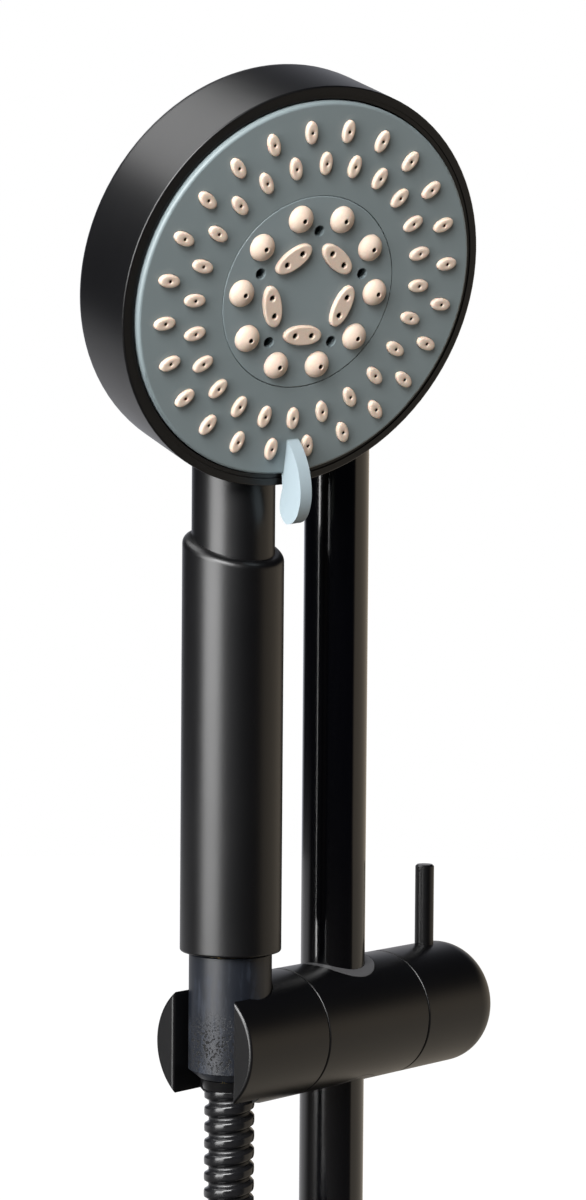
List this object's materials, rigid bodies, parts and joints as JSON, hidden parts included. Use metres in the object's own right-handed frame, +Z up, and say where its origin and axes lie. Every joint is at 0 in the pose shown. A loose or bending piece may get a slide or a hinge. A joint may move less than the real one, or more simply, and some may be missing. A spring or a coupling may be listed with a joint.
{
  "type": "hand shower rail set",
  "caption": "Round multi-spray hand shower standing in a sliding, tilting bracket on a wall rail, with its coiled flexible hose.",
  "frame": {"origin": "centre of the upper wall base's back face, on the wall", "axes": "+X along the wall towards the clamp knob, +Y into the wall, -Y into the room, +Z up along the rail"},
  "size_m": [0.2509, 0.1121, 0.5596],
  "materials": {
    "black_metal": "satin powder coat",
    "gloss_black": "gloss lacquer",
    "grey_plastic": "satin",
    "black_plastic": "satin",
    "dark_nut": "satin",
    "slate_plastic": "satin",
    "nozzle_rubber": "matte",
    "hose_black": "gloss",
    "inner_plastic": "natural",
    "steel": "bright",
    "brass": "bright",
    "seal_rubber": "matte"
  },
  "bodies": {
    "wall_rail": {"rail_tube": "gloss_black", "rail_plug_upper": "black_metal", "rail_plug_lower": "black_metal", "wall_post_upper": "black_metal", "wall_post_lower": "black_metal", "wall_base_upper": "steel", "wall_base_lower": "steel", "wall_rosette_upper": "black_metal", "wall_rosette_lower": "black_metal", "post_studs": "steel", "post_grub_screws": "steel"},
    "slider": {"slider_body": "black_metal", "rail_bush": "grey_plastic", "clamp_shoe": "grey_plastic", "clamp_insert": "brass", "pivot_screw": "steel", "friction_washer": "grey_plastic"},
    "lock_knob": {"lock_knob": "black_metal", "knob_stud": "steel", "lever_pin": "black_metal", "knob_grub_screw": "steel"},
    "cradle": {"cradle": "black_metal"},
    "hose": {"hose_swivel_tail": "brass", "hose_collar": "black_metal", "hose_washer": "seal_rubber", "hose_run": "hose_black", "hose_coil": "hose_black", "hose_tail": "hose_black", "hose_tie": "seal_rubber", "end_collar": "black_metal", "end_swivel_tail": "brass", "end_nut": "black_metal", "end_washer": "seal_rubber"},
    "handset": {"hose_nut": "dark_nut", "inlet_connector": "brass", "flow_restrictor": "inner_plastic", "water_tube": "inner_plastic", "grip_sleeve": "black_plastic", "head_housing": "black_plastic", "bezel_ring": "black_plastic", "port_plate": "inner_plastic", "port_seal": "seal_rubber", "detent_ball": "steel", "detent_spring": "steel", "detent_cup": "inner_plastic"},
    "selector": {"selector_ring": "slate_plastic", "nozzle_mat": "nozzle_rubber", "centre_disc": "slate_plastic", "centre_nozzle_mat": "nozzle_rubber", "distributor": "inner_plastic", "selector_screw": "steel"}
  },
  "joints": [
    {"name": "slider_slide", "type": "slide", "parent": "wall_rail", "child": "slider", "axis": [0, 0, 1], "range_m": [-0.04, 0.16]},
    {"name": "knob_turn", "type": "hinge", "parent": "slider", "child": "lock_knob", "pos_m": [0.04, -0.0563, -0.2], "axis": [1, 0, 0], "range_deg": [0, 100]},
    {"name": "cradle_tilt", "type": "hinge", "parent": "slider", "child": "cradle", "pos_m": [-0.03, -0.0563, -0.2], "axis": [1, 0, 0], "range_deg": [0, 12]},
    {"name": "hose_lift_out", "type": "slide", "parent": "cradle", "child": "hose", "axis": [0, 0, 1], "range_m": [0, 0.04]},
    {"name": "handset_swivel", "type": "hinge", "parent": "hose", "child": "handset", "pos_m": [-0.045, -0.0563, -0.2], "axis": [0, 0, 1], "range_deg": [-75, 0]},
    {"name": "selector_turn", "type": "hinge", "parent": "handset", "child": "selector", "pos_m": [-0.05395, -0.0922, 0.0047], "axis": [-0.2266, -0.9088, -0.3502], "range_deg": [-60, 60]}
  ]
}
